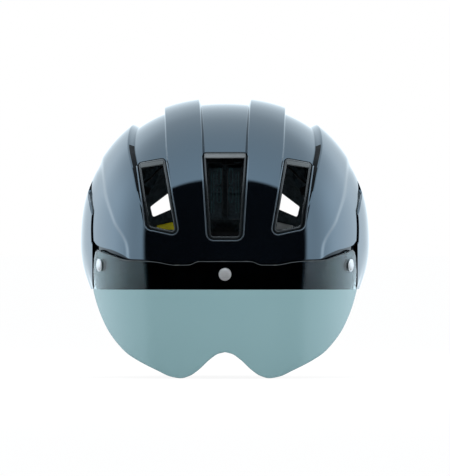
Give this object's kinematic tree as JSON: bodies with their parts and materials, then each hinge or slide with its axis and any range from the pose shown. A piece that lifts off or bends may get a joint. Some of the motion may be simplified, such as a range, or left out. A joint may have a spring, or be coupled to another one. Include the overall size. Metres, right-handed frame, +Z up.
{
  "type": "bicycle helmet with visor",
  "caption": "Vented bicycle helmet with a tinted wrap-round visor held by magnets, a dial-fitted head cradle, pads and a buckled chin strap.",
  "frame": {"origin": "centre of the head opening, level with the bottom edge of the front rim", "axes": "+Z up, front of the helmet towards -Y, +X towards the viewer's right"},
  "size_m": [0.2152, 0.2688, 0.2073],
  "materials": {
    "shell_gloss": "gloss",
    "band_plastic": "gloss",
    "eps_foam": "beaded foam",
    "vent_plastic": "satin",
    "magnet_steel": "plated",
    "pad_fabric": "knitted",
    "fit_plastic": "moulded",
    "strap_webbing": "woven",
    "buckle_plastic": "moulded",
    "dial_plastic": "moulded",
    "visor_tint": "polished",
    "cap_steel": "polished"
  },
  "bodies": {
    "helmet": {"outer_shell": "shell_gloss", "rim_band": "band_plastic", "eps_front": "eps_foam", "eps_rear": "eps_foam", "centre_vent_frame": "vent_plastic", "side_vent_frames": "vent_plastic", "helmet_magnets": "magnet_steel", "brow_pad": "pad_fabric", "crown_pad": "pad_fabric", "side_pads": "pad_fabric", "rear_pads": "pad_fabric", "head_band": "fit_plastic", "temple_pins": "fit_plastic", "height_socket": "fit_plastic", "strap_anchors": "fit_plastic", "front_strap_left": "strap_webbing", "front_strap_right": "strap_webbing", "rear_strap_left": "strap_webbing", "rear_strap_right": "strap_webbing", "divider_left": "buckle_plastic", "divider_right": "buckle_plastic", "chin_strap_left": "strap_webbing", "chin_strap_right": "strap_webbing", "buckle_socket": "buckle_plastic"},
    "cradle": {"arm_left": "fit_plastic", "arm_right": "fit_plastic", "rear_cradle": "fit_plastic", "dial_housing": "fit_plastic", "housing_cover": "fit_plastic", "height_strap": "fit_plastic", "cradle_pad": "pad_fabric"},
    "dial": {"fit_dial": "dial_plastic", "pinion": "fit_plastic"},
    "left_rack": {"rack_left": "fit_plastic"},
    "right_rack": {"rack_right": "fit_plastic"},
    "left_cam": {"cam_lever_left": "buckle_plastic"},
    "right_cam": {"cam_lever_right": "buckle_plastic"},
    "buckle": {"buckle_tongue": "buckle_plastic"},
    "visor": {"visor_lens": "visor_tint", "visor_rivets": "cap_steel"}
  },
  "joints": [
    {"name": "visor_pull", "type": "slide", "parent": "helmet", "child": "visor", "axis": [0, -1, 0], "range_m": [0, 0.09]},
    {"name": "cradle_height", "type": "hinge", "parent": "helmet", "child": "cradle", "pos_m": [0, -0.02641, 0.015], "axis": [1, 0, 0], "range_deg": [-4, 0]},
    {"name": "dial_turn", "type": "hinge", "parent": "cradle", "child": "dial", "pos_m": [0, 0.112, -0.001], "axis": [0, 1, 0], "range_deg": [0, 137.6]},
    {"name": "rack_left_slide", "type": "slide", "parent": "cradle", "child": "left_rack", "axis": [1, 0, 0], "range_m": [0, 0.012], "deforming": ["arm_left"]},
    {"name": "rack_right_slide", "type": "slide", "parent": "cradle", "child": "right_rack", "axis": [-1, 0, 0], "range_m": [0, 0.0121], "deforming": ["arm_right"]},
    {"name": "cam_left_lift", "type": "hinge", "parent": "helmet", "child": "left_cam", "pos_m": [-0.05849, 0.005, 0.07345], "axis": [0, -1, 0], "range_deg": [0, 100]},
    {"name": "cam_right_lift", "type": "hinge", "parent": "helmet", "child": "right_cam", "pos_m": [0.05849, 0.005, 0.07345], "axis": [0, 1, 0], "range_deg": [0, 100]},
    {"name": "buckle_release", "type": "slide", "parent": "helmet", "child": "buckle", "axis": [-1, 0, 0], "range_m": [0, 0.016], "deforming": ["chin_strap_left"]}
  ],
  "couplings": [
    {"joint": "dial_turn", "follows": "rack_left_slide", "rad_per_m": 200},
    {"joint": "rack_right_slide", "follows": "rack_left_slide", "ratio": 1}
  ]
}
